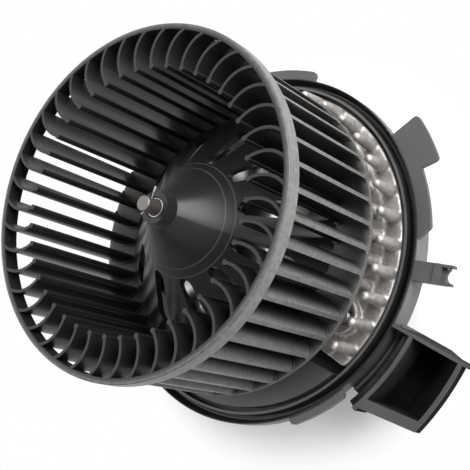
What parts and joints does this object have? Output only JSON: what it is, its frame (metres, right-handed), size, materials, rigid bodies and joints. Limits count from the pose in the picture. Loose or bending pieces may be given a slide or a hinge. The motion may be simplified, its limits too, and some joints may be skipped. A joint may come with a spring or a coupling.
{
  "type": "car cabin blower motor",
  "caption": "Car heater blower: a squirrel-cage wheel on a flanged DC motor with bayonet tabs, a cooling-air scoop and a finned regulator.",
  "frame": {"origin": "on the shaft's axis, in the plane of the front edge of the mounting flange's rim", "axes": "+Z along the shaft, out of the wheel's inlet; +X towards the latch arm and the air scoop"},
  "size_m": [0.2167, 0.1807, 0.141],
  "materials": {
    "black_glass_filled_plastic": "moulded, satin",
    "black_housing_plastic": "moulded, fine texture",
    "dark_cover_plastic": "moulded, fine texture",
    "seal_rubber": "matt",
    "cast_aluminium": "die-cast, matt",
    "shaft_steel": "ground",
    "spring_steel": "drawn wire",
    "zinc_plated_steel": "zinc plated",
    "can_steel": "deep-drawn, plated",
    "core_steel": "stamped laminations",
    "copper_wire": "enamelled",
    "copper_bars": "turned",
    "ferrite": "ground ferrite",
    "sintered_bronze": "oil-soaked",
    "fibre_plate": "pressed fibre",
    "brass_sheet": "bent sheet",
    "carbon": "pressed carbon",
    "damper_rubber": "matt",
    "circuit_board": "lacquered",
    "epoxy_case": "moulded",
    "capacitor_sleeve": "shrink sleeve",
    "tinned_brass": "tinned"
  },
  "bodies": {
    "housing": {"mounting_flange": "black_housing_plastic", "rim_seal": "seal_rubber", "heat_sink": "cast_aluminium", "heat_sink_screws": "zinc_plated_steel", "rear_cover": "dark_cover_plastic", "air_duct": "dark_cover_plastic", "regulator_housing": "dark_cover_plastic", "cover_screws": "zinc_plated_steel", "regulator_board": "circuit_board", "power_transistors": "epoxy_case", "smoothing_capacitor": "capacitor_sleeve", "connector_terminals": "tinned_brass", "motor_can": "can_steel", "front_bearing": "sintered_bronze", "rear_bearing": "sintered_bronze", "magnet_left": "ferrite", "magnet_right": "ferrite", "magnet_clips": "spring_steel", "end_plate": "zinc_plated_steel", "brush_card": "fibre_plate", "brush_holder_a": "brass_sheet", "brush_holder_b": "brass_sheet", "brush_spring_a": "spring_steel", "brush_spring_b": "spring_steel", "suppression_chokes": "copper_wire", "rubber_dampers": "damper_rubber"},
    "rotor": {"impeller": "black_glass_filled_plastic", "shaft": "shaft_steel", "shaft_clip": "spring_steel", "armature_core": "core_steel", "armature_windings": "copper_wire", "commutator": "copper_bars", "thrust_washers": "fibre_plate"},
    "brush_a": {"brush_a": "carbon"},
    "brush_b": {"brush_b": "carbon"}
  },
  "joints": [
    {"name": "impeller_spin", "type": "hinge", "parent": "housing", "child": "rotor", "pos_m": [0, 0, 0], "axis": [0, 0, 1], "continuous": true},
    {"name": "brush_a_wear", "type": "slide", "parent": "housing", "child": "brush_a", "axis": [1, 0, 0], "range_m": [0, 0.0035], "stiffness_N_per_m": 150, "springref_m": -0.006, "deforming": ["brush_spring_a"]},
    {"name": "brush_b_wear", "type": "slide", "parent": "housing", "child": "brush_b", "axis": [-1, 0, 0], "range_m": [0, 0.0035], "stiffness_N_per_m": 150, "springref_m": -0.006, "deforming": ["brush_spring_b"]}
  ]
}
